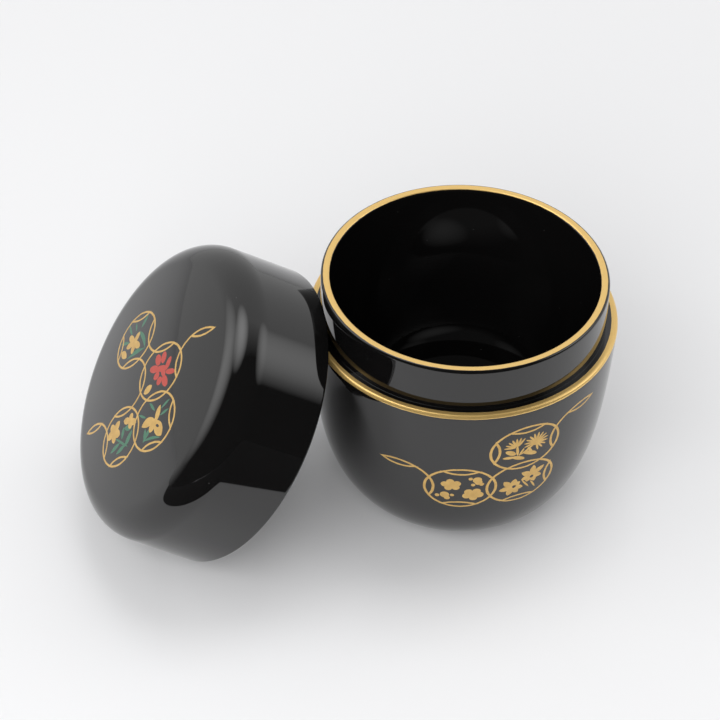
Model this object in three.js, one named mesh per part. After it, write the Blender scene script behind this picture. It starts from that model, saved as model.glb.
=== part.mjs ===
import * as THREE from 'three';

// A round lacquered tea caddy standing open, with its lid leaning on the collar.
// Millimetres, +Z up. The origin is the middle of the foot, on the surface that it stands on.
// The lid leans on the side towards -X, and both pieces are mirrored about the plane Y = 0.

// Outside of the bowl, up to the ledge that carries the closed lid
const BODY_RADIUS = 33;
const LEDGE_HEIGHT = 48;
const LEDGE_WIDTH = 2.4;
const LEDGE_EDGE_ROUND = 0.7;
const FOOT_RADIUS = 17.5;
const FOOT_HEIGHT = 1.2;
// The side is one curve: it leaves the foot and the ledge at these slopes, and keeps to
// them for these lengths before it bends
const FOOT_SLOPE_DEG = 25;
const FOOT_SLOPE_LENGTH = 13.7;
const SIDE_SLOPE_DEG = 86.6;
const SIDE_SLOPE_LENGTH = 26.4;

// Collar, and the inside that runs on from it
const COLLAR_HEIGHT = 10.4;
const COLLAR_WALL = 2;
const LIP_ROUND = 0.6;
const FLOOR_THICKNESS = 3.4;
// The inside is straight for this far below the ledge, and then one curve to the middle of
// the floor, which keeps to the wall and to the floor for these lengths before it bends
const INSIDE_STRAIGHT = 18;
const INSIDE_WALL_LENGTH = 18;
const INSIDE_FLOOR_LENGTH = 21;

// Lid, measured up from its rim
const LID_CLEARANCE = 0.25;
const LID_SIDE_HEIGHT = 15.5;
const LID_SIDE_DRAW_IN = 0.2;
const SHOULDER_RADIUS = 7;
const CROWN_RADIUS = 170;
const LID_RIM_ROUND = 0.4;

// How the lid rests: its axis leans this far from upright, its rim stands on the surface
// and its upper rim comes this close to the caddy
const LID_LEAN_DEG = 56.5;
const LEAN_GAP = 0.3;

// Facets: round the axis (a multiple of four, so that some lie on the plane Y = 0), and
// along each curve of an outline
const TURNS = 60;
const SIDE_STEPS = 12;
const INSIDE_STEPS = 9;
const SHOULDER_STEPS = 6;
const CROWN_STEPS = 5;
const EDGE_STEPS = 2;

// Sizes that follow from the ones above
const COLLAR_RADIUS = BODY_RADIUS - LEDGE_WIDTH;
const BORE_RADIUS = COLLAR_RADIUS - COLLAR_WALL;
const LIP_HEIGHT = LEDGE_HEIGHT + COLLAR_HEIGHT;
const LID_RADIUS = BODY_RADIUS;
const LID_BORE_RADIUS = COLLAR_RADIUS + LID_CLEARANCE;
const LID_LEAN = THREE.MathUtils.degToRad(LID_LEAN_DEG);

function blackLacquer() {
  return new THREE.MeshStandardMaterial({ color: 0x14110f, roughness: 0.12, metalness: 0 });
}

function point(radius, height) {
  return new THREE.Vector2(radius, height);
}

// A point that lies a length away from a start, at a slope in degrees above the radius
function pointAlong(start, slopeDeg, length) {
  const slope = THREE.MathUtils.degToRad(slopeDeg);
  return point(start.x + length * Math.cos(slope), start.y + length * Math.sin(slope));
}

// Points on a circle's arc between two angles in degrees, both ends included
function arc(centre, radius, fromDeg, toDeg, steps) {
  const from = THREE.MathUtils.degToRad(fromDeg);
  const to = THREE.MathUtils.degToRad(toDeg);
  const curve = new THREE.EllipseCurve(centre.x, centre.y, radius, radius, from, to, to < from);
  return curve.getPoints(steps);
}

// The bowl's outside, from the top of the foot to the start of the ledge's rounded edge
function bowlSide() {
  const foot = point(FOOT_RADIUS, FOOT_HEIGHT);
  const top = point(BODY_RADIUS, LEDGE_HEIGHT - LEDGE_EDGE_ROUND);
  const curve = new THREE.CubicBezierCurve(
    foot,
    pointAlong(foot, FOOT_SLOPE_DEG, FOOT_SLOPE_LENGTH),
    pointAlong(top, SIDE_SLOPE_DEG, -SIDE_SLOPE_LENGTH),
    top,
  );
  return curve.getPoints(SIDE_STEPS);
}

// The ledge with its rounded edge, then the collar's outside and its rounded lip
function ledgeAndCollar() {
  const edge = point(BODY_RADIUS - LEDGE_EDGE_ROUND, LEDGE_HEIGHT - LEDGE_EDGE_ROUND);
  const outerLip = point(COLLAR_RADIUS - LIP_ROUND, LIP_HEIGHT - LIP_ROUND);
  const innerLip = point(BORE_RADIUS + LIP_ROUND, LIP_HEIGHT - LIP_ROUND);
  return [
    ...arc(edge, LEDGE_EDGE_ROUND, 0, 90, EDGE_STEPS).slice(1),
    point(COLLAR_RADIUS, LEDGE_HEIGHT),
    ...arc(outerLip, LIP_ROUND, 0, 90, EDGE_STEPS),
    ...arc(innerLip, LIP_ROUND, 90, 180, EDGE_STEPS),
  ];
}

// The inside, from where it leaves the straight bore to the middle of the floor
function bowlInside() {
  const curveTop = LEDGE_HEIGHT - INSIDE_STRAIGHT;
  const curve = new THREE.CubicBezierCurve(
    point(BORE_RADIUS, curveTop),
    point(BORE_RADIUS, curveTop - INSIDE_WALL_LENGTH),
    point(INSIDE_FLOOR_LENGTH, FLOOR_THICKNESS),
    point(0, FLOOR_THICKNESS),
  );
  return curve.getPoints(INSIDE_STEPS);
}

function caddyOutline() {
  return [
    point(0, 0),
    point(FOOT_RADIUS, 0),
    ...bowlSide(),
    ...ledgeAndCollar(),
    ...bowlInside(),
  ];
}

// A side, rounded shoulder and domed crown, from the rim to the axis. The shoulder's arc
// ends where it meets the crown's circle, so that the surface has no crease. The lid's
// outside and inside share both centres, and differ only in the radii of their arcs.
function domeOutline(sideRadius) {
  const shoulderCentre = point(LID_RADIUS - LID_SIDE_DRAW_IN - SHOULDER_RADIUS, LID_SIDE_HEIGHT);
  const centreToCentre = CROWN_RADIUS - SHOULDER_RADIUS;
  const crownDrop = Math.sqrt(centreToCentre ** 2 - shoulderCentre.x ** 2);
  const crownCentre = point(0, LID_SIDE_HEIGHT - crownDrop);
  const meetingDeg = THREE.MathUtils.radToDeg(Math.atan2(crownDrop, shoulderCentre.x));
  const shoulderRadius = sideRadius - shoulderCentre.x;
  const crownRadius = centreToCentre + shoulderRadius;
  return [
    ...arc(shoulderCentre, shoulderRadius, 0, meetingDeg, SHOULDER_STEPS),
    ...arc(crownCentre, crownRadius, meetingDeg, 90, CROWN_STEPS).slice(1, -1),
    point(0, crownCentre.y + crownRadius),
  ];
}

// Inside of the lid from the axis down to the rim, then the outside up to the axis again
function lidOutline() {
  const innerRim = point(LID_BORE_RADIUS + LID_RIM_ROUND, LID_RIM_ROUND);
  const outerRim = point(LID_RADIUS - LID_RIM_ROUND, LID_RIM_ROUND);
  return [
    ...domeOutline(LID_BORE_RADIUS).reverse(),
    ...arc(innerRim, LID_RIM_ROUND, 180, 270, EDGE_STEPS),
    ...arc(outerRim, LID_RIM_ROUND, -90, 0, EDGE_STEPS),
    ...domeOutline(LID_RADIUS - LID_SIDE_DRAW_IN),
  ];
}

// An outline of radius and height, turned round the Z axis
function turned(outline) {
  return new THREE.LatheGeometry(outline, TURNS).rotateX(Math.PI / 2);
}

// The leaning lid cut through the plane Y = 0: its outline and the mirror of it, tipped back
function leaningSection(outline) {
  const mirrored = outline.map(({ x, y }) => point(-x, y)).reverse();
  return [...outline, ...mirrored].map((place) => place.rotateAround(new THREE.Vector2(), LID_LEAN));
}

// The largest x that a closed outline has at a height, or -Infinity where it has none
function reachAt(outline, height) {
  const crossings = outline.map((start, index) => {
    const end = outline[(index + 1) % outline.length];
    const missed = height < Math.min(start.y, end.y) || height > Math.max(start.y, end.y);
    const share = end.y === start.y ? 0 : (height - start.y) / (end.y - start.y);
    return missed ? -Infinity : start.x + share * (end.x - start.x);
  });
  return Math.max(...crossings);
}

// How far from the caddy's axis the lid's rim stands: slid up to the caddy until, at the
// height where they are closest, only the gap is left between them
function leanDistance(caddy, section, lift) {
  const raised = section.map(({ x, y }) => point(x, y + lift));
  const heights = [...caddy, ...raised].map((place) => place.y);
  const reaches = heights.map((height) => reachAt(caddy, height) + reachAt(raised, height));
  return Math.max(...reaches) + LEAN_GAP;
}

function caddyBody() {
  const body = new THREE.Mesh(turned(caddyOutline()), blackLacquer());
  body.name = 'caddy_body';
  return body;
}

// The lid hangs in a group that stands it on its rim and leans it back, towards -X
function leaningLid() {
  const lid = new THREE.Mesh(turned(lidOutline()), blackLacquer());
  lid.name = 'lid';
  const section = leaningSection(lidOutline());
  const lift = -Math.min(...section.map((place) => place.y));
  const rest = new THREE.Group();
  rest.position.set(-leanDistance(caddyOutline(), section, lift), 0, lift);
  rest.rotation.y = -LID_LEAN;
  rest.add(lid);
  return rest;
}

const caddy = new THREE.Group();
caddy.add(caddyBody(), leaningLid());

export default caddy;
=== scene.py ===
"""A round black lacquer tea caddy standing open, with its lid leaning on the collar.

Both pieces are surfaces of revolution. Their painted rings and flowers are shader patterns
on Object coordinates, so they need no image and no mesh detail. Lengths in the properties
are metres, and lengths of painted figures are millimetres on the piece's own surface.
"""

import math
from functools import reduce

import bpy
import numpy as np
from bpy.props import FloatProperty, FloatVectorProperty, IntProperty, PointerProperty
from mathutils import Matrix, Vector


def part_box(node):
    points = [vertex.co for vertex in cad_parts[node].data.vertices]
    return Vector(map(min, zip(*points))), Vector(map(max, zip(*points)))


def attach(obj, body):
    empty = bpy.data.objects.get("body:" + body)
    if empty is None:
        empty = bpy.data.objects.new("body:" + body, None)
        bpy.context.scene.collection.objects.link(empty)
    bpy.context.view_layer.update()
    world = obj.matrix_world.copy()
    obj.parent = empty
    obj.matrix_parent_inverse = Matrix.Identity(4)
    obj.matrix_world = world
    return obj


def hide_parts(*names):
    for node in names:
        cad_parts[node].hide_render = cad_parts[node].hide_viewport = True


bl_info = {
    "name": "Lacquer Tea Caddy",
    "version": (1, 0, 0),
    "blender": (4, 5, 0),
    "location": "3D View > Sidebar > Tea Caddy",
    "description": "Builds a lacquer tea caddy with its leaning lid, and a plain studio round it",
    "category": "Add Mesh",
}

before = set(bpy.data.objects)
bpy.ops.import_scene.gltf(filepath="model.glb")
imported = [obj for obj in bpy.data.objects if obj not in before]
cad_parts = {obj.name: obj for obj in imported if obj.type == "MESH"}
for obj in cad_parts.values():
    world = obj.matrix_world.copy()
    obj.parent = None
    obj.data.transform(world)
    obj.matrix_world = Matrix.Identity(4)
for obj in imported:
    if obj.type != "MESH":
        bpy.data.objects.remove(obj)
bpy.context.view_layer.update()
BODY_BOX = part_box("caddy_body")
LID_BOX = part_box("lid")

MM = 0.001

# Where the leaning lid stands: its axis is tipped back towards -X from upright
LID_LEAN = math.radians(56.5)
LID_ORIGIN = (-48.952 * MM, 0.0, 27.356 * MM)


class CaddySizes(bpy.types.PropertyGroup):
    """Sizes of the open caddy, in its own frame"""

    radius: FloatProperty(
        name="Radius", description="Widest radius of the bowl",
        default=BODY_BOX[1].x, subtype="DISTANCE", unit="LENGTH")
    lip_height: FloatProperty(
        name="Lip height", description="Height of the top of the collar",
        default=BODY_BOX[1].z, subtype="DISTANCE", unit="LENGTH")
    collar_height: FloatProperty(
        name="Collar height", description="How far the collar rises above the ledge",
        default=10.4 * MM, subtype="DISTANCE", unit="LENGTH")
    ledge_width: FloatProperty(
        name="Ledge width", description="Width of the ledge that carries the closed lid",
        default=2.4 * MM, subtype="DISTANCE", unit="LENGTH")
    ledge_round: FloatProperty(
        name="Ledge rounding", description="Radius of the ledge's outer edge",
        default=0.7 * MM, subtype="DISTANCE", unit="LENGTH")
    wall: FloatProperty(
        name="Collar wall", description="Thickness of the collar",
        default=2.0 * MM, subtype="DISTANCE", unit="LENGTH")
    lip_round: FloatProperty(
        name="Lip rounding", description="Radius of both edges of the lip",
        default=0.6 * MM, subtype="DISTANCE", unit="LENGTH")
    foot_radius: FloatProperty(
        name="Foot radius", description="Radius of the flat foot",
        default=17.5 * MM, subtype="DISTANCE", unit="LENGTH")
    foot_height: FloatProperty(
        name="Foot height", description="Height of the foot's upright edge",
        default=1.2 * MM, subtype="DISTANCE", unit="LENGTH")
    floor: FloatProperty(
        name="Floor thickness", description="Thickness of the caddy's floor at its middle",
        default=3.4 * MM, subtype="DISTANCE", unit="LENGTH")
    straight: FloatProperty(
        name="Straight inside", description="How far below the ledge the inside stays straight",
        default=18.0 * MM, subtype="DISTANCE", unit="LENGTH")


class LidSizes(bpy.types.PropertyGroup):
    """Sizes of the lid, measured up from its rim along its own axis"""

    radius: FloatProperty(
        name="Radius", description="Radius of the lid at its rim",
        default=LID_BOX[1].y, subtype="DISTANCE", unit="LENGTH")
    bore: FloatProperty(
        name="Bore radius", description="Inner radius, which slips over the collar",
        default=30.85 * MM, subtype="DISTANCE", unit="LENGTH")
    side_height: FloatProperty(
        name="Side height", description="Height of the side below the shoulder",
        default=15.5 * MM, subtype="DISTANCE", unit="LENGTH")
    draw_in: FloatProperty(
        name="Draw-in", description="How much smaller the side is at the shoulder than at the rim",
        default=0.2 * MM, subtype="DISTANCE", unit="LENGTH")
    shoulder: FloatProperty(
        name="Shoulder radius", description="Radius of the rounded shoulder",
        default=7.0 * MM, subtype="DISTANCE", unit="LENGTH")
    crown: FloatProperty(
        name="Crown radius", description="Radius of the low dome of the crown",
        default=170.0 * MM, subtype="DISTANCE", unit="LENGTH")
    rim_round: FloatProperty(
        name="Rim rounding", description="Radius of both edges of the rim",
        default=0.4 * MM, subtype="DISTANCE", unit="LENGTH")


class FinishColours(bpy.types.PropertyGroup):
    """Colours of the lacquer and of the paints on it"""

    lacquer: FloatVectorProperty(
        name="Lacquer", description="Polished black lacquer",
        default=(0.0042, 0.0040, 0.0040), size=3, min=0.0, max=1.0, subtype="COLOR")
    gold: FloatVectorProperty(
        name="Gold paint", description="Gold powder of rings, flowers and edges",
        default=(0.70, 0.47, 0.165), size=3, min=0.0, max=1.0, subtype="COLOR")
    green: FloatVectorProperty(
        name="Leaf green", description="Green paint of the leaves",
        default=(0.045, 0.18, 0.10), size=3, min=0.0, max=1.0, subtype="COLOR")
    red: FloatVectorProperty(
        name="Flower red", description="Red paint of the chrysanthemum",
        default=(0.50, 0.05, 0.03), size=3, min=0.0, max=1.0, subtype="COLOR")


class StudioSettings(bpy.types.PropertyGroup):
    """Floor, light and camera"""

    distance: FloatProperty(
        name="Camera distance", description="From the camera to the caddy's foot",
        default=0.71564, subtype="DISTANCE", unit="LENGTH")
    elevation: FloatProperty(
        name="Camera elevation", description="How steeply the camera looks down",
        default=math.radians(43.9145), subtype="ANGLE", unit="ROTATION")
    azimuth: FloatProperty(
        name="Camera azimuth", description="Turn of the view about the upright axis",
        default=math.radians(-16.35), subtype="ANGLE", unit="ROTATION")
    lens: FloatProperty(
        name="Lens", description="Focal length on a 36 mm wide sensor",
        default=160.0, subtype="DISTANCE_CAMERA", unit="CAMERA")
    floor_half: FloatProperty(
        name="Floor reach", description="Half the width of the floor and of the dark card",
        default=0.9, subtype="DISTANCE", unit="LENGTH")
    card_near: FloatProperty(
        name="Card distance", description="How far in front of the caddy the dark card begins",
        default=0.105, subtype="DISTANCE", unit="LENGTH")
    floor_tint: FloatVectorProperty(
        name="Floor tint", description="Colour of the pale floor",
        default=(0.86, 0.86, 0.87), size=3, min=0.0, max=1.0, subtype="COLOR")
    bright_side: FloatProperty(
        name="Bright side", description="What mirror images show behind the caddy",
        default=0.8, min=0.0)
    dim_side: FloatProperty(
        name="Dim side", description="What mirror images show in front of the caddy",
        default=0.02, min=0.0)
    backdrop: FloatProperty(
        name="Backdrop", description="Even light from all round, and the backdrop's brightness",
        default=0.42, min=0.0)
    turns: IntProperty(
        name="Segments", description="Segments round each turned piece",
        default=288, min=24)


# Outlines of turned pieces: arrays of (radius, height)

def line(start, end, steps=8):
    """Points from start to end, closest together at both ends: share = (1 - cos(pi t)) / 2."""
    share = (1 - np.cos(np.pi * np.linspace(0, 1, steps + 1))) / 2
    return np.outer(1 - share, start) + np.outer(share, end)


def arc(centre, radius, from_angle, to_angle, steps=8):
    """Points centre + radius (cos a, sin a), for equal steps of the angle a in radians."""
    angle = np.linspace(from_angle, to_angle, steps + 1)
    return np.array(centre) + radius * np.stack([np.cos(angle), np.sin(angle)], 1)


def bezier(start, first, second, end, steps):
    """Cubic Bezier curve: the four points weighted by the terms of ((1 - t) + t) cubed."""
    t = np.linspace(0, 1, steps + 1)[:, None]
    terms = [(1 - t) ** 3, 3 * t * (1 - t) ** 2, 3 * t ** 2 * (1 - t), t ** 3]
    return sum(term * np.array(p) for term, p in zip(terms, (start, first, second, end)))


# Points closer than this are one point
SAME_POINT = 0.0001 * MM


def joined(*runs):
    """Runs of points end to end, without the point that two neighbours share."""
    points = np.concatenate(runs)
    step = np.linalg.norm(np.diff(points, axis=0), axis=1)
    return points[np.concatenate([[True], step > SAME_POINT])]


def along(start, angle, length):
    """The point at a length from start, at an angle above the radius."""
    return (start[0] + length * math.cos(angle), start[1] + length * math.sin(angle))


# Steps along the runs of an outline
FOOT_STEPS = 10
FOOT_EDGE_STEPS = 4
WALL_STEPS = 12
SIDE_STEPS = 64
INSIDE_STEPS = 48
SHOULDER_STEPS = 24
CROWN_STEPS = 40
RIM_STEPS = 6
# Slopes and lengths that the bowl's side keeps to where it leaves the foot and the ledge
FOOT_SLOPE = math.radians(25)
FOOT_REACH = 13.7 * MM
SIDE_SLOPE = math.radians(86.6)
SIDE_REACH = 26.4 * MM
# The same for the inside, where it leaves the straight wall and the middle of the floor
INSIDE_WALL_REACH = 18.0 * MM
INSIDE_FLOOR_REACH = 21.0 * MM


def caddy_outline(size):
    """From the foot's middle up the outside, over the collar and down to the inner floor."""
    ledge = size.lip_height - size.collar_height
    collar = size.radius - size.ledge_width
    bore = collar - size.wall
    foot = (size.foot_radius, size.foot_height)
    shoulder = (size.radius, ledge - size.ledge_round)
    curve_top = (bore, ledge - size.straight)
    lip = size.lip_height - size.lip_round
    quarter = math.pi / 2
    return joined(
        line((0, 0), (size.foot_radius, 0), FOOT_STEPS),
        line((size.foot_radius, 0), foot, FOOT_EDGE_STEPS),
        bezier(foot, along(foot, FOOT_SLOPE, FOOT_REACH),
               along(shoulder, SIDE_SLOPE, -SIDE_REACH), shoulder, SIDE_STEPS),
        arc((size.radius - size.ledge_round, shoulder[1]), size.ledge_round, 0, quarter),
        line((size.radius - size.ledge_round, ledge), (collar, ledge)),
        line((collar, ledge), (collar, lip), WALL_STEPS),
        arc((collar - size.lip_round, lip), size.lip_round, 0, quarter),
        line((collar - size.lip_round, size.lip_height), (bore + size.lip_round, size.lip_height)),
        arc((bore + size.lip_round, lip), size.lip_round, quarter, 2 * quarter),
        line((bore, lip), curve_top, WALL_STEPS),
        bezier(curve_top, (bore, curve_top[1] - INSIDE_WALL_REACH),
               (INSIDE_FLOOR_REACH, size.floor), (0, size.floor), INSIDE_STEPS),
    )


def dome_outline(size, side_radius):
    """From the side's top over the shoulder's arc and the crown's larger arc to the axis."""
    centre = (size.radius - size.draw_in - size.shoulder, size.side_height)
    between = size.crown - size.shoulder
    drop = math.sqrt(between ** 2 - centre[0] ** 2)
    meeting = math.atan2(drop, centre[0])
    shoulder_radius = side_radius - centre[0]
    crown_centre = (0, size.side_height - drop)
    crown = arc(crown_centre, between + shoulder_radius, meeting, math.pi / 2, CROWN_STEPS)
    crown[-1, 0] = 0
    return joined(arc(centre, shoulder_radius, 0, meeting, SHOULDER_STEPS), crown)


def lid_outline(size):
    """From the inside's middle down to the rim, round it, and up the outside to the crown."""
    inner = dome_outline(size, size.bore)[::-1]
    outer = dome_outline(size, size.radius - size.draw_in)
    edge = size.rim_round
    quarter = math.pi / 2
    return joined(
        inner,
        line(inner[-1], (size.bore, edge), WALL_STEPS),
        arc((size.bore + edge, edge), edge, math.pi, 3 * quarter, RIM_STEPS),
        line((size.bore + edge, 0), (size.radius - edge, 0), RIM_STEPS),
        arc((size.radius - edge, edge), edge, -quarter, 0, RIM_STEPS),
        line((size.radius, edge), outer[0], WALL_STEPS),
        outer,
    )


def turned_mesh(name, outline, turns):
    """A closed surface of revolution: (r cos a, r sin a, h) for every outline point (r, h)
    off the axis and every angle a. The outline's two ends are single points on the axis."""
    radius, height = outline[1:-1].T
    angle = np.arange(turns) * 2 * math.pi / turns
    rings = np.stack([np.outer(radius, np.cos(angle)), np.outer(radius, np.sin(angle)),
                      np.repeat(height[:, None], turns, 1)], -1).reshape(-1, 3)
    poles = [(0, 0, outline[0, 1]), (0, 0, outline[-1, 1])]
    points = np.concatenate([rings, poles])
    here = np.arange(turns)
    after = (here + 1) % turns
    ring = np.arange(len(radius) - 1)[:, None] * turns
    quads = np.stack([ring + here, ring + after, ring + turns + after, ring + turns + here], -1)
    first_pole, last_pole = len(rings), len(rings) + 1
    last = (len(radius) - 1) * turns
    first_fan = np.stack([np.full(turns, first_pole), after, here], -1)
    last_fan = np.stack([np.full(turns, last_pole), last + here, last + after], -1)
    faces = [*first_fan.tolist(), *quads.reshape(-1, 4).tolist(), *last_fan.tolist()]
    mesh = bpy.data.meshes.new(name)
    mesh.from_pydata(points.tolist(), [], faces)
    mesh.polygons.foreach_set("use_smooth", np.ones(len(faces), bool))
    mesh.update()
    return mesh


def shown(mesh):
    """An object at the origin for a mesh that holds its own place."""
    piece = bpy.data.objects.new(mesh.name, mesh)
    bpy.context.scene.collection.objects.link(piece)
    return piece


def lid_placement():
    """Turns the lid about Y to lean it back, and stands it beside the caddy."""
    return Matrix.Translation(LID_ORIGIN) @ Matrix.Rotation(-LID_LEAN, 4, "Y")


class Value:
    """A shader socket in a Python expression. Each operator adds one Math node, and node()
    adds any other: its settings first, and then the values or links of its sockets."""

    def __init__(self, tree, socket=None):
        self.tree = tree
        self.socket = socket

    def node(self, kind, settings, inputs, output=0):
        node = self.tree.nodes.new(kind)
        for name, setting in settings.items():
            setattr(node, name, setting)
        for key, value in inputs.items():
            if isinstance(value, Value):
                self.tree.links.new(value.socket, node.inputs[key])
            else:
                node.inputs[key].default_value = value
        return Value(self.tree, node.outputs[output])

    def math(self, operation, *values, clamp=False):
        settings = {"operation": operation, "use_clamp": clamp}
        return self.node("ShaderNodeMath", settings, dict(enumerate(values)))

    def vector(self, operation, *values, output="Vector"):
        return self.node("ShaderNodeVectorMath", {"operation": operation},
                         dict(enumerate(values)), output)

    def __add__(self, other):
        return self.math("ADD", self, other)

    __radd__ = __add__

    def __sub__(self, other):
        return self.math("SUBTRACT", self, other)

    def __rsub__(self, other):
        return self.math("SUBTRACT", other, self)

    def __mul__(self, other):
        return self.math("MULTIPLY", self, other)

    __rmul__ = __mul__

    def __abs__(self):
        return self.math("ABSOLUTE", self)

    def lower(self, other):
        return self.math("MINIMUM", self, other)

    def higher(self, other):
        return self.math("MAXIMUM", self, other)

    def from_point(self, place):
        """Distance of a vector from a fixed place in the painted plane."""
        return self.vector("DISTANCE", self, (*place, 0), output="Value")


# Painted figures. Each function gives the signed distance in millimetres, below zero inside,
# of the point `at` on the painted surface, laid flat, from one figure.

def union(shapes):
    """All of the shapes as one: the lowest of their distances."""
    return reduce(Value.lower, shapes)


def disc(at, centre, radius):
    return at.from_point(centre) - radius


def past_arc(at, start, end, bulge, side):
    """How far `at` is past the circle's arc from start to end, whose middle lies `bulge` to
    the left of the chord: past it on the left where side is 1, on the right where it is -1."""
    chord = np.subtract(end, start)
    half = np.linalg.norm(chord) / 2
    left = np.array([-chord[1], chord[0]]) / (2 * half)
    radius = (half ** 2 + bulge ** 2) / (2 * abs(bulge))
    centre = np.add(start, end) / 2 + left * (bulge - math.copysign(radius, bulge))
    distance = at.from_point(centre)
    return distance - radius if bulge * side > 0 else radius - distance


def blade(at, start, end, left, right):
    """A pointed leaf between two arcs from start to end. Each arc's middle lies that far to the
    left of the chord: a right arc below zero makes a leaf, and one above zero a sickle."""
    return past_arc(at, start, end, left, 1).higher(past_arc(at, start, end, right, -1))


def oval(at, start, end, half_width):
    """An ellipse with its long axis from start to end: (length of the scaled point - 1) w."""
    chord = np.subtract(end, start)
    scaled = at.node("ShaderNodeMapping", {"vector_type": "TEXTURE"}, {
        "Vector": at, "Location": (*(np.add(start, end) / 2), 0),
        "Rotation": (0, 0, math.atan2(chord[1], chord[0])),
        "Scale": (np.linalg.norm(chord) / 2, half_width, 1)})
    length = at.vector("LENGTH", scaled, output="Value")
    return at.math("MULTIPLY_ADD", length, half_width, -half_width)


def polar(centre, length, degrees):
    """The place at a length and an angle from a centre."""
    angle = math.radians(degrees)
    return (centre[0] + length * math.cos(angle), centre[1] + length * math.sin(angle))


def star(at, centre, core, tips, half_width):
    """Pointed lobes from a round core to tips given by length and angle."""
    lobes = (blade(at, centre, polar(centre, *tip), half_width, -half_width) for tip in tips)
    return union([disc(at, centre, core), *lobes])


def petals(at, heart, tips, half_width):
    """Round petals: ovals from one heart to tips given by length and angle."""
    return union(oval(at, heart, polar(heart, *tip), half_width) for tip in tips)


def fan(at, root, inner, outer, angles, half_width):
    """Pine needles: thin ovals round a root, from one radius out to another."""
    return union(oval(at, polar(root, inner, a), polar(root, outer, a), half_width)
                 for a in angles)


# Shares of a plum blossom's size: how far its petals stand across and up, and its two radii
PLUM_SPREAD = (0.72, 0.57)
PLUM_HEART = 0.55
PLUM_PETAL = 0.46


def plum_blossom(at, centre, size, turn):
    """Five round petals round a full heart, spread wider than high as the rings are."""
    spread = np.multiply(PLUM_SPREAD, size)
    ways = (polar((0, 0), 1, turn + 72 * k) for k in range(5))
    petal_discs = (disc(at, np.add(centre, np.multiply(way, spread)), size * PLUM_PETAL)
                   for way in ways)
    return union([disc(at, centre, size * PLUM_HEART), *petal_discs])


class RingLattice:
    """Equal linked ovals: an affine image of unit circles whose centres are `spacing` apart."""

    def __init__(self, origin, along, across, spacing):
        self.origin = np.array(origin)
        self.axes = np.array([along, across]).T
        self.spacing = spacing
        self.radius = math.sqrt(abs(np.linalg.det(self.axes))) / spacing

    def unfold(self, at):
        """The point in circle radii: the inverse of the lattice's axes, times the spacing."""
        inverse = np.linalg.inv(self.axes) * self.spacing
        shift = -inverse @ self.origin
        parts = [at.vector("DOT_PRODUCT", at, (*row, 0), output="Value") + move
                 for row, move in zip(inverse.tolist(), shift.tolist())]
        return at.node("ShaderNodeCombineXYZ", {}, {"X": parts[0], "Y": parts[1]})

    def ring(self, unfolded, cell, middle=None, further=0):
        """A whole ring round a cell, or only its arc about a middle angle in degrees. The arc
        ends where the ring crosses its neighbours, or on past further crossings."""
        centre = np.array(cell) * self.spacing
        stroke = abs(unfolded.from_point(centre) - 1)
        if middle is None:
            return stroke
        direction = polar((0, 0), 1, middle)
        half_angle = math.acos(self.spacing / 2) + further * math.pi / 4
        reach = math.cos(half_angle) + float(centre @ direction)
        past = reach - unfolded.vector("DOT_PRODUCT", unfolded, (*direction, 0), output="Value")
        return stroke.higher(past * (1 / math.sin(half_angle)))

    def lines(self, at, whole, arcs, half_width):
        """Every whole ring and every arc as lines of one width."""
        unfolded = self.unfold(at)
        rings = (self.ring(unfolded, *args) for args in [*((cell,) for cell in whole), *arcs])
        return union(rings) * self.radius - half_width


# Rings are named by their cell: steps along the first and the second lattice direction. An
# arc has its cell, its middle angle, and how many crossings further than its first it runs
LID_LATTICE = RingLattice((-5.72, 3.65), (11.265, -6.633), (6.161, 9.112), 1.76)
LID_LINE = 0.24
LID_RINGS = ((1, 0), (0, 1), (1, -1), (0, -1))
LID_ARCS = (
    ((0, 0), 0, 2), ((1, 1), 225, 1), ((2, 0), 135, 1), ((2, 1), 270), ((-1, -1), 45, 1),
    ((-1, 0), 270), ((-1, 1), 0), ((0, 2), 270), ((2, -1), 180), ((1, -2), 90), ((0, -2), 90),
)

BODY_LATTICE = RingLattice((1.401, 25.631), (13.273, 0.002), (0.061, 10.861), 1.75)
BODY_LINE = 0.26
BODY_RINGS = ((0, 0), (1, 0), (1, 1))
BODY_ARCS = (
    ((-1, 0), 45, 1), ((-1, 1), 270), ((0, 1), 270), ((0, 1), 0), ((0, -1), 90),
    ((2, 0), 180), ((1, -1), 90), ((1, 2), 270), ((2, 1), 135, 1), ((2, 2), 270),
)


def lid_gold(at):
    """Rings, two irises, a bud, a small leaf and two bellflowers."""
    yield LID_LATTICE.lines(at, LID_RINGS, LID_ARCS, LID_LINE)
    # Iris and bud of the upper ring
    tips = ((3.3, 109), (2.6, 18), (3.4, -64), (2.7, -124), (3.2, 156))
    yield petals(at, (-0.2, 12.6), tips, 0.78)
    yield blade(at, (-5.1, 14.6), (-3.8, 11.3), 0.9, -0.8)
    # Leaf beside the chrysanthemum
    yield blade(at, (-0.95, -3.35), (2.2, -3.95), 0.85, -0.95)
    # Iris of the lowest ring
    yield blade(at, (-4.5, -10.1), (-0.1, -12.3), 1.35, -0.75)
    yield oval(at, (-2.8, -13.3), (0.3, -12.3), 1.0)
    yield blade(at, (-0.2, -13.0), (2.9, -10.6), 0.9, -0.7)
    yield blade(at, (-0.1, -12.6), (0.15, -17.1), 1.4, -1.4).higher(
        -1 * oval(at, (-0.3, -13.6), (0.4, -14.7), 0.3))
    # Bellflowers of the left ring
    tips = ((2.4, 95), (3.0, 164), (3.05, 10), (2.6, 247), (3.05, 305))
    yield star(at, (-13.5, -2.5), 1.15, tips, 0.95)
    tips = ((2.7, 135), (1.8, 32), (2.9, -52), (1.9, -105))
    yield star(at, (-7.4, -5.2), 0.85, tips, 0.8)


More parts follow.
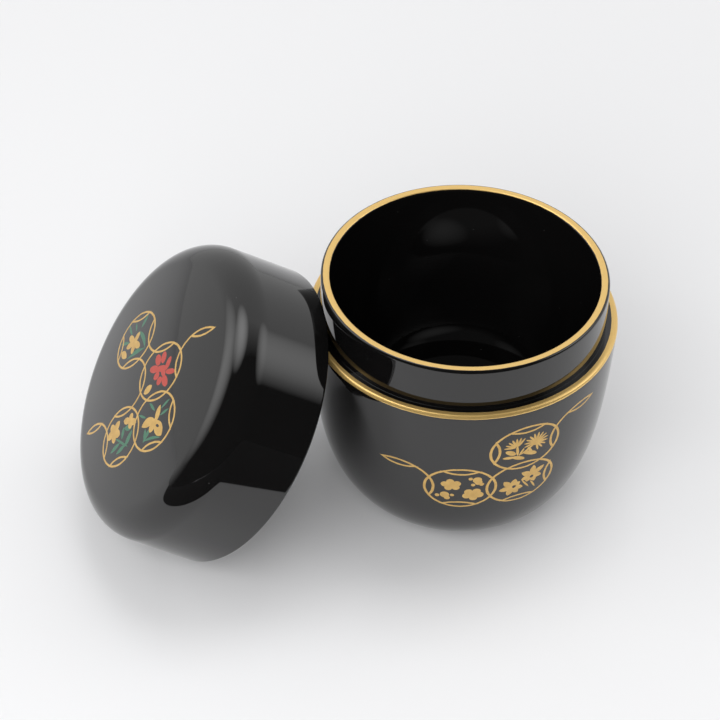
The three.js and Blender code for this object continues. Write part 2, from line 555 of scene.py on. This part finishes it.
def lid_green(at):
    """The leaves of the three flowers."""
    blades = (
        # Upper ring: three short blades above, one to the right and three below
        ((-0.45, 15.2), (-0.85, 19.4), 0.4, -0.35), ((1.25, 14.8), (1.65, 17.2), 0.3, -0.3),
        ((-4.8, 17.0), (-1.7, 14.1), 0.4, -0.4), ((3.0, 14.0), (6.1, 15.3), 0.5, -0.5),
        ((2.0, 13.9), (2.85, 7.5), 1.2, 0.1), ((-3.7, 10.8), (3.0, 7.5), 0.5, -0.35),
        ((-1.6, 10.2), (1.5, 8.9), 0.4, -0.1),
        # Lowest ring
        ((-4.2, -6.8), (-2.4, -9.5), 0.3, -0.25), ((0.0, -7.2), (0.75, -10.4), 0.4, -0.35),
        ((2.6, -11.5), (5.9, -11.8), 0.35, -0.3), ((1.7, -12.7), (4.7, -13.5), 0.35, -0.3),
        ((-5.7, -13.7), (-1.9, -12.8), 0.6, -0.35), ((-5.2, -13.6), (-3.6, -11.4), 0.35, -0.55),
        ((-5.7, -13.4), (-0.3, -17.3), 0.7, 0.05),
        # Left ring
        ((-16.7, -5.8), (-12.5, -6.8), 0.55, -0.5), ((-14.9, -7.9), (-10.9, -8.9), 0.55, -0.5),
        ((-11.6, -9.0), (-7.5, -7.8), 0.6, -0.75), ((-13.7, -4.2), (-10.4, -10.1), 0.3, -0.3),
        ((-11.6, -6.6), (-9.8, -4.6), 0.5, -0.6), ((-9.8, -5.1), (-7.4, -7.3), 0.75, -0.6),
    )
    for args in blades:
        yield blade(at, *args)


def lid_red(at):
    """A chrysanthemum: round petals of uneven length, with an eye left open."""
    outer = (
        ((5.9, -1.3), (6.1, 1.6), 1.0), ((5.3, -2.1), (2.9, 0.4), 0.85),
        ((7.0, -1.9), (8.5, 0.3), 0.9), ((7.2, -4.2), (9.8, -2.6), 0.75),
        ((7.1, -4.6), (9.6, -7.0), 0.65), ((6.0, -4.9), (6.1, -8.0), 0.95),
        ((5.5, -4.7), (3.6, -5.2), 0.9), ((5.2, -3.3), (3.2, -2.9), 0.85),
    )
    inner = (((4.9, -1.5), (7.8, -4.3), 0.75), ((6.3, -5.4), (6.6, -2.3), 0.7),
             ((4.4, -3.1), (5.8, -1.6), 0.6))
    red = union(oval(at, *args) for args in (*outer, *inner))
    yield red.higher(0.32 - at.from_point((5.35, -3.75)))


def body_gold(at):
    """Rings, plum blossoms, two maple leaves and two pine sprigs."""
    yield BODY_LATTICE.lines(at, BODY_RINGS, BODY_ARCS, BODY_LINE)
    yield plum_blossom(at, (-0.5, 26.8), 1.85, 100)
    yield plum_blossom(at, (4.2, 23.7), 2.0, 60)
    buds = (
        (4.9, 28.45, 0.95), (5.2, 27.7, 0.8), (5.9, 27.0, 0.5), (4.1, 26.9, 0.45),
        (3.5, 28.9, 0.45), (-1.8, 23.35, 1.0), (-1.3, 22.4, 0.65), (-3.4, 22.95, 0.5),
        (-0.2, 23.4, 0.42),
    )
    for x, y, radius in buds:
        yield disc(at, (x, y), radius)
    # Maple leaves, each open at its heart, with their stems
    tips = ((3.2, 129), (2.8, 79), (2.3, 42), (2.7, -12), (2.5, -52), (2.6, -106), (2.9, -174))
    yield star(at, (12.7, 24.2), 1.4, tips, 0.75).higher(0.45 - at.from_point((13.2, 24.4)))
    tips = ((3.1, 147), (3.0, 88), (3.3, 32), (2.7, -27), (2.6, -70), (2.2, -122), (2.6, -162))
    yield star(at, (17.1, 26.8), 1.35, tips, 0.72).higher(0.45 - at.from_point((17.1, 26.2)))
    yield blade(at, (14.7, 26.1), (16.9, 22.8), 0.22, -0.22)
    yield blade(at, (16.9, 24.9), (18.5, 22.1), 0.3, -0.15)
    # Pine sprigs: two fans of needles on forked stems, and low strokes under them
    yield fan(at, (12.65, 37.1), 0.3, 2.8, np.linspace(56, 173, 7), 0.25)
    yield disc(at, (16.9, 37.3), 0.95)
    yield fan(at, (16.9, 37.3), 0.4, 2.75, np.linspace(-78, 218, 14), 0.25)
    stems = (
        ((12.65, 37.6), (13.0, 34.5), 0.3), ((16.6, 36.9), (13.6, 34.6), 0.25),
        ((14.2, 36.4), (13.3, 34.4), 0.25), ((10.3, 36.5), (12.5, 35.0), 0.6),
        ((9.8, 34.5), (12.4, 34.2), 0.4), ((11.8, 34.4), (14.6, 33.1), 0.52),
        ((14.1, 35.3), (17.3, 33.7), 0.6), ((15.1, 36.4), (16.1, 34.7), 0.3),
    )
    for start, end, half_width in stems:
        yield oval(at, start, end, half_width)


# Finishes

def inside(distance, blur=0.06):
    """1 where a distance is below zero and 0 where it is above, over a narrow edge."""
    return distance.math("MULTIPLY_ADD", distance, -1 / blur, 0.5, clamp=True)


# Which of a Mix node's sockets belong to colours: the factor, both inputs and the output
MIX_FACTOR = 0
MIX_COLOURS = (6, 7)
MIX_RESULT = 2


def mixed(factor, first, second):
    """The first colour where the factor is 0, and the second where it is 1."""
    colours = (c if isinstance(c, Value) else (*c, 1) for c in (first, second))
    return factor.node("ShaderNodeMix", {"data_type": "RGBA"},
                       {MIX_FACTOR: factor, **dict(zip(MIX_COLOURS, colours))}, MIX_RESULT)


def noise(place, scale, detail, output="Fac"):
    """Soft noise of a vector: scale is in swings for each unit of the vector."""
    return place.node("ShaderNodeTexNoise", {},
                      {"Vector": place, "Scale": scale, "Detail": detail}, output)


def millimetres(tree, origin, rotation):
    """Object coordinates as millimetres from an origin, in axes turned by a rotation."""
    coordinates = Value(tree).node("ShaderNodeTexCoord", {}, {}, "Object")
    return coordinates.node("ShaderNodeMapping", {"vector_type": "TEXTURE"}, {
        "Vector": coordinates, "Location": origin, "Rotation": rotation,
        "Scale": (MM, MM, MM)})


def split(place):
    """The three parts of a vector."""
    parts = place.node("ShaderNodeSeparateXYZ", {}, {"Vector": place})
    node = parts.socket.node
    return [Value(place.tree, node.outputs[k]) for k in range(3)]


# How the brush strays: swings in each millimetre, and millimetres between its two extremes
BRUSH_SWINGS = 0.9
BRUSH_WANDER = 0.16


def painted_at(across, up):
    """A point on the painted surface laid flat, moved a little as a hand-held brush does."""
    flat = across.node("ShaderNodeCombineXYZ", {}, {"X": across, "Y": up})
    swirl = noise(flat, BRUSH_SWINGS, 2.0, "Color")
    wander = swirl.vector("SUBTRACT", swirl, (0.5, 0.5, 0.5))
    return flat.vector("MULTIPLY_ADD", wander, (BRUSH_WANDER, BRUSH_WANDER, 0), flat)


def new_material(name):
    """A new material's node tree and its Principled shader."""
    material = bpy.data.materials.new(name)
    material.use_nodes = True
    return material, material.node_tree, material.node_tree.nodes["Principled BSDF"]


def connect(shader, values):
    """Feeds each named socket of a shader, by a link or by a plain value."""
    for name, value in values.items():
        socket = shader.inputs[name]
        if isinstance(value, Value):
            value.tree.links.new(value.socket, socket)
        else:
            socket.default_value = value


LACQUER_IOR = 1.62
LACQUER_ROUGHNESS = 0.035
PAINT_ROUGHNESS = 0.4
EDGE_ROUGHNESS = 0.3
GOLD_METAL = 0.7
# Swings of the noise in each millimetre: grains of gold powder, how thick the powder lies,
# how well the lacquer is polished, and the waves in it
POWDER_SWINGS = 5.0
LOAD_SWINGS = 0.6
POLISH_SWINGS = 0.08
WAVE_SWINGS = 0.12
# How high grains and waves stand, and how much of that the light shows
POWDER_DEPTH = 0.012 * MM
POWDER_BUMP = 0.8
WAVE_DEPTH = 0.02 * MM
WAVE_BUMP = 0.35
# How far the lacquer's roughness varies, and how far below the usual one that begins
POLISH_RANGE = 0.03
POLISH_BELOW = 0.01
# Specks of dust in the polish, about one to every ten square millimetres
SPECK_CELLS = 0.3
SPECK_RADIUS = 0.022
SPECK_BLUR = 0.02
SPECK_COLOUR = (0.2, 0.2, 0.2)
SPECK_SHARE = 0.5
# Shares of a paint's colour: gold where it lies thin and lies thick, gold on an edge brightened
# further as a painted highlight, and the two other paints where they lie thin
THIN_GOLD = (0.78, 0.7, 0.6)
THICK_GOLD = 1.12
EDGE_GOLD_HIGHLIGHT = 1.4
THIN_GREEN = 0.6
THIN_RED = 0.7
# How much of the gold's colour goes with its thickness, and how much with its grains
LOAD_SHARE = 0.55


def lacquered(shader, place, finish, gold, green=None, red=None, edges=None):
    """Polished black lacquer with gold powder and coloured paints where their masks are 1.
    The gold is smoother, and brighter as a painted highlight, where the mask of the edges is 1."""
    powder = noise(place, POWDER_SWINGS, 2.0)
    cells = place.node("ShaderNodeTexVoronoi", {}, {"Vector": place, "Scale": SPECK_CELLS},
                       "Distance")
    speck = inside(cells - SPECK_RADIUS, SPECK_BLUR)
    load = inside(0.5 - noise(place, LOAD_SWINGS, 3.0), 0.5)
    thick = [c * THICK_GOLD for c in finish.gold]
    thin = [c * share for c, share in zip(finish.gold, THIN_GOLD)]
    gold_paint = mixed(load * LOAD_SHARE + powder * (1 - LOAD_SHARE), thin, thick)
    colour = mixed(speck * SPECK_SHARE, finish.lacquer, SPECK_COLOUR)
    any_paint = gold
    if green is not None:
        thin_green = [c * THIN_GREEN for c in finish.green]
        colour = mixed(green, colour, mixed(powder, thin_green, finish.green))
        thin_red = [c * THIN_RED for c in finish.red]
        colour = mixed(red, colour, mixed(powder, thin_red, finish.red))
        any_paint = gold.higher(green).higher(red)
    polish = noise(place, POLISH_SWINGS, 2.0) * POLISH_RANGE + (LACQUER_ROUGHNESS - POLISH_BELOW)
    roughness = polish + any_paint * (PAINT_ROUGHNESS - LACQUER_ROUGHNESS)
    if edges is not None:
        # On the edges the gold runs up to a colour brighter than thick gold: a painted highlight
        highlit_gold = [min(1.0, c * EDGE_GOLD_HIGHLIGHT) for c in finish.gold]
        gold_paint = mixed(edges, gold_paint, mixed(powder, thick, highlit_gold))
        roughness = roughness + edges * (EDGE_ROUGHNESS - PAINT_ROUGHNESS)
    colour = mixed(gold, colour, gold_paint)
    wave = place.node("ShaderNodeBump", {}, {
        "Strength": WAVE_BUMP, "Distance": WAVE_DEPTH,
        "Height": noise(place, WAVE_SWINGS, 1.0)}, "Normal")
    grain = wave.node("ShaderNodeBump", {}, {
        "Strength": any_paint * POWDER_BUMP, "Distance": POWDER_DEPTH,
        "Height": powder, "Normal": wave}, "Normal")
    connect(shader, {
        "Base Color": colour,
        "Roughness": roughness,
        "Metallic": gold * GOLD_METAL,
        "Normal": grain,
        "IOR": LACQUER_IOR,
    })


# The lid's ornament reaches this far in from the outside of the crown
CROWN_PAINT_DEPTH = 1.2


def lid_lacquer(finish, size):
    """The lid's lacquer, with the ornament on the outside of its crown."""
    material, tree, shader = new_material("lid_lacquer")
    place = millimetres(tree, LID_ORIGIN, (0, -LID_LEAN, 0))
    x, y, _ = split(place)
    shoulder = size.radius - size.draw_in - size.shoulder
    drop = math.sqrt((size.crown - size.shoulder) ** 2 - shoulder ** 2)
    from_centre = place.vector("DISTANCE", place, (0, 0, (size.side_height - drop) / MM),
                               output="Value")
    outside = inside((size.crown / MM - CROWN_PAINT_DEPTH) - from_centre)
    at = painted_at(x, y)
    masks = [inside(union(shapes(at))) * outside for shapes in (lid_gold, lid_green, lid_red)]
    lacquered(shader, place, finish, *masks)
    return material


# The body's ornament is laid flat from this direction, with this length to one radian
BODY_FRONT = math.radians(-106.35)
FLAT_RADIUS = 31.0
# It shows only outside this radius, so that none of it shows on the inside of the bowl
ORNAMENT_INNER = 29.25
# Gold on the ledge: how far it reaches down the outside, and its inner radius
BAND_DROP = 0.75
BAND_INNER = 31.6
# Gold on the lip: how far it reaches down, and its inner and outer radius
LIP_GOLD_DROP = 0.5
LIP_GOLD_REACH = (28.8, 30.12)
# How a gold edge strays: swings in each millimetre, and millimetres between its extremes
EDGE_SWINGS = 0.5
EDGE_WANDER = 0.16


def body_lacquer(finish, size):
    """The body's lacquer, with the ornament on the outside and gold on ledge and lip."""
    material, tree, shader = new_material("body_lacquer")
    place = millimetres(tree, (0, 0, 0), (0, 0, BODY_FRONT))
    x, y, z = split(place)
    flat = place.node("ShaderNodeCombineXYZ", {}, {"X": x, "Y": y})
    radius = flat.vector("LENGTH", flat, output="Value")
    at = painted_at(y.math("ARCTAN2", y, x) * FLAT_RADIUS, z)
    ornament = inside(union(body_gold(at))) * inside(ORNAMENT_INNER - radius)
    ledge = (size.lip_height - size.collar_height) / MM
    lip = size.lip_height / MM
    uneven = noise(place, EDGE_SWINGS, 3.0) * EDGE_WANDER - EDGE_WANDER / 2
    band = (ledge - BAND_DROP - z).higher(BAND_INNER - radius)
    lip_band = (lip - LIP_GOLD_DROP - z).higher(radius - LIP_GOLD_REACH[1])
    lip_band = lip_band.higher(LIP_GOLD_REACH[0] - radius)
    edges = inside(band.lower(lip_band) + uneven)
    lacquered(shader, place, finish, ornament.higher(edges), edges=edges)
    return material


# Swings of the floor's and the card's tint in each millimetre, and the shares of the colour
FLOOR_SWINGS = 0.004
FLOOR_PALEST = 1.02
CARD_SWINGS = 0.01
CARD_DARKEST = 0.7


def pale_floor(studio):
    """A matt white floor with a barely uneven tint. It has no gloss at all, so that the dark
    card leaves no mark on it."""
    material, tree, shader = new_material("pale_floor")
    place = millimetres(tree, (0, 0, 0), (0, 0, 0))
    paler = [min(1.0, c * FLOOR_PALEST) for c in studio.floor_tint]
    connect(shader, {
        "Base Color": mixed(noise(place, FLOOR_SWINGS, 2.0), studio.floor_tint, paler),
        "Specular IOR Level": 0.0,
    })
    return material


def dark_card(studio):
    """Dull and a little uneven, as dark as the studio's dim side."""
    material, tree, shader = new_material("dark_card")
    place = millimetres(tree, (0, 0, 0), (0, 0, 0))
    dark = [c * studio.dim_side for c in studio.floor_tint]
    darkest = [c * CARD_DARKEST for c in dark]
    connect(shader, {
        "Base Color": mixed(noise(place, CARD_SWINGS, 2.0), darkest, dark),
        "Roughness": 0.9,
    })
    return material


class TEACADDY_OT_body(bpy.types.Operator):
    """Makes the caddy's body with its collar"""

    bl_idname = "teacaddy.body"
    bl_label = "Caddy body"

    def execute(self, context):
        scene = context.scene
        mesh = turned_mesh("body", caddy_outline(scene.caddy_sizes), scene.studio.turns)
        piece = shown(mesh)
        mesh.materials.append(body_lacquer(scene.finish, scene.caddy_sizes))
        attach(piece, "root")
        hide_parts("caddy_body")
        return {"FINISHED"}


class TEACADDY_OT_lid(bpy.types.Operator):
    """Makes the lid where it leans on the caddy"""

    bl_idname = "teacaddy.lid"
    bl_label = "Lid"

    def execute(self, context):
        scene = context.scene
        mesh = turned_mesh("leaning_lid", lid_outline(scene.lid_sizes), scene.studio.turns)
        mesh.transform(lid_placement())
        piece = shown(mesh)
        mesh.materials.append(lid_lacquer(scene.finish, scene.lid_sizes))
        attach(piece, "root")
        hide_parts("lid")
        return {"FINISHED"}


def turned_axes(first, second, angle):
    """Two axes turned in their own plane, the first towards the second."""
    return (first * math.cos(angle) + second * math.sin(angle),
            second * math.cos(angle) - first * math.sin(angle))


# How far the camera turns right, up and about its line of sight from the foot's middle
CAMERA_YAW = math.radians(-1.7993)
CAMERA_PITCH = math.radians(1.9338)
CAMERA_ROLL = math.radians(3.3163)


def studio_camera(studio):
    """The camera stands where it looks down on the foot's middle, and then turns a little."""
    e = studio.elevation
    sight = Vector((0, math.cos(e), -math.sin(e)))
    right = Vector((1, 0, 0))
    up = right.cross(sight)
    place = -sight * studio.distance
    sight, right = turned_axes(sight, right, CAMERA_YAW)
    sight, up = turned_axes(sight, up, CAMERA_PITCH)
    right, up = turned_axes(right, up, CAMERA_ROLL)
    turn = Matrix.Rotation(studio.azimuth, 3, "Z")
    axes = [turn @ v for v in (right, up, -sight)]
    camera = bpy.data.objects.new("studio_camera", bpy.data.cameras.new("studio_camera"))
    camera.data.lens = studio.lens
    camera.data.sensor_width = 36
    camera.data.clip_start = 0.01
    camera.data.clip_end = 20
    camera.matrix_world = Matrix.Translation(turn @ place) @ Matrix(axes).transposed().to_4x4()
    bpy.context.scene.collection.objects.link(camera)
    bpy.context.scene.camera = camera


# Where mirror images show the studio brightest, seen from the caddy: behind it
BRIGHT_SIDE = (0.197, 0.980, 0.0)
# How bright they show it straight above, from 0 on the dim side to 1, and how fast this
# changes with a direction's share towards the bright side
BRIGHT_ABOVE = 0.35
BRIGHT_CHANGE = 2.2
# Soft bright places in mirror images: the direction of the middle, the cosine of the angle
# from it at which the brightness ends, and the brightness of the middle
GLOWS = (
    ((-0.81, 0.32, 0.50), 0.90, 1.3),
    ((-0.30, 0.20, 0.93), 0.93, 2.4),
    ((0.77, -0.14, 0.62), 0.92, 1.7),
)


def studio_world(studio):
    """Even light from a plain backdrop. In mirror images alone the studio is dim in front
    and bright behind, and the bright places are added to it."""
    world = bpy.data.worlds.new("studio_world")
    world.use_nodes = True
    tree = world.node_tree
    direction = Value(tree).node("ShaderNodeTexCoord", {}, {}, "Generated")
    share = direction.vector("DOT_PRODUCT", direction, BRIGHT_SIDE, output="Value")
    behind = share.math("MULTIPLY_ADD", share, BRIGHT_CHANGE, BRIGHT_ABOVE, clamp=True)
    image = behind * (studio.bright_side - studio.dim_side) + studio.dim_side
    for middle, edge, peak in GLOWS:
        near = direction.vector("DOT_PRODUCT", direction, middle, output="Value")
        slope = 1 / (1 - edge)
        image += near.math("MULTIPLY_ADD", near, slope, -edge * slope, clamp=True) * peak
    mirrored = direction.node("ShaderNodeLightPath", {}, {}, "Is Glossy Ray")
    light = mirrored * (image - studio.backdrop) + studio.backdrop
    connect(tree.nodes["Background"], {"Color": (1, 1, 1, 1), "Strength": light})
    return world


# Lamps: place and width in metres, and power in watts
LAMPS = {
    "overhead": ((0.1, 0.2, 1.18), 0.5, 2.4),
    "left": ((-0.93, 0.1, 0.84), 0.8, 2.4),
    "right": ((0.71, 0.14, 1.03), 0.7, 1.8),
    "front": ((-0.8, -1.1, 0.95), 1.4, 19.5),
}


def soft_light(name, place, width, watts):
    """A square area light that faces the caddy's foot and shows in no mirror image."""
    lamp = bpy.data.objects.new(name, bpy.data.lights.new(name, "AREA"))
    lamp.data.size = width
    lamp.data.energy = watts
    lamp.visible_glossy = False
    lamp.location = place
    lamp.rotation_euler = (-Vector(place)).to_track_quat("-Z", "Y").to_euler()
    bpy.context.scene.collection.objects.link(lamp)


# The card lies this high above the floor
CARD_HEIGHT = 1.0 * MM


def level_sheet(name, half, back, height, turn, material):
    """A level rectangle of the studio, from `half` in front of the caddy to `back` behind it
    and `half` to each side, turned about the upright axis."""
    mesh = bpy.data.meshes.new(name)
    corners = [(-half, -half), (half, -half), (half, back), (-half, back)]
    mesh.from_pydata([(x, y, height) for x, y in corners], [], [(0, 1, 2, 3)])
    mesh.transform(Matrix.Rotation(turn, 4, "Z"))
    mesh.materials.append(material)
    sheet = shown(mesh)
    return sheet


class TEACADDY_OT_studio(bpy.types.Operator):
    """Makes the floor, the light and the camera"""

    bl_idname = "teacaddy.studio"
    bl_label = "Studio"

    def execute(self, context):
        scene = context.scene
        studio = scene.studio
        half = studio.floor_half
        level_sheet("floor", half, half, 0, 0, pale_floor(studio))
        card = level_sheet("dark_card", half, -studio.card_near, CARD_HEIGHT, studio.azimuth,
                           dark_card(studio))
        # Only mirror images show the card
        card.visible_camera = False
        card.visible_diffuse = False
        card.visible_shadow = False
        scene.world = studio_world(studio)
        scene.view_settings.view_transform = "Standard"
        for name, settings in LAMPS.items():
            soft_light(name, *settings)
        studio_camera(studio)
        return {"FINISHED"}


class TEACADDY_PT_panel(bpy.types.Panel):
    """Lists what the caddy is made of"""

    bl_idname = "TEACADDY_PT_panel"
    bl_label = "Tea Caddy"
    bl_space_type = "VIEW_3D"
    bl_region_type = "UI"
    bl_category = "Tea Caddy"

    def draw(self, context):
        for operator in OPERATORS:
            self.layout.operator(operator.bl_idname)
        for group in GROUPS:
            settings = getattr(context.scene, group)
            self.layout.label(text=type(settings).__doc__)
            for name in type(settings).__annotations__:
                self.layout.prop(settings, name)


OPERATORS = (TEACADDY_OT_body, TEACADDY_OT_lid, TEACADDY_OT_studio)
GROUPS = {"caddy_sizes": CaddySizes, "lid_sizes": LidSizes,
          "finish": FinishColours, "studio": StudioSettings}
CLASSES = (*GROUPS.values(), *OPERATORS, TEACADDY_PT_panel)


def register():
    for cls in CLASSES:
        bpy.utils.register_class(cls)
    for name, group in GROUPS.items():
        setattr(bpy.types.Scene, name, PointerProperty(type=group))


def unregister():
    for name in GROUPS:
        delattr(bpy.types.Scene, name)
    for cls in reversed(CLASSES):
        bpy.utils.unregister_class(cls)


def main():
    register()
    for operator in OPERATORS:
        group, name = operator.bl_idname.split(".")
        getattr(getattr(bpy.ops, group), name)()


if __name__ == "__main__":
    main()
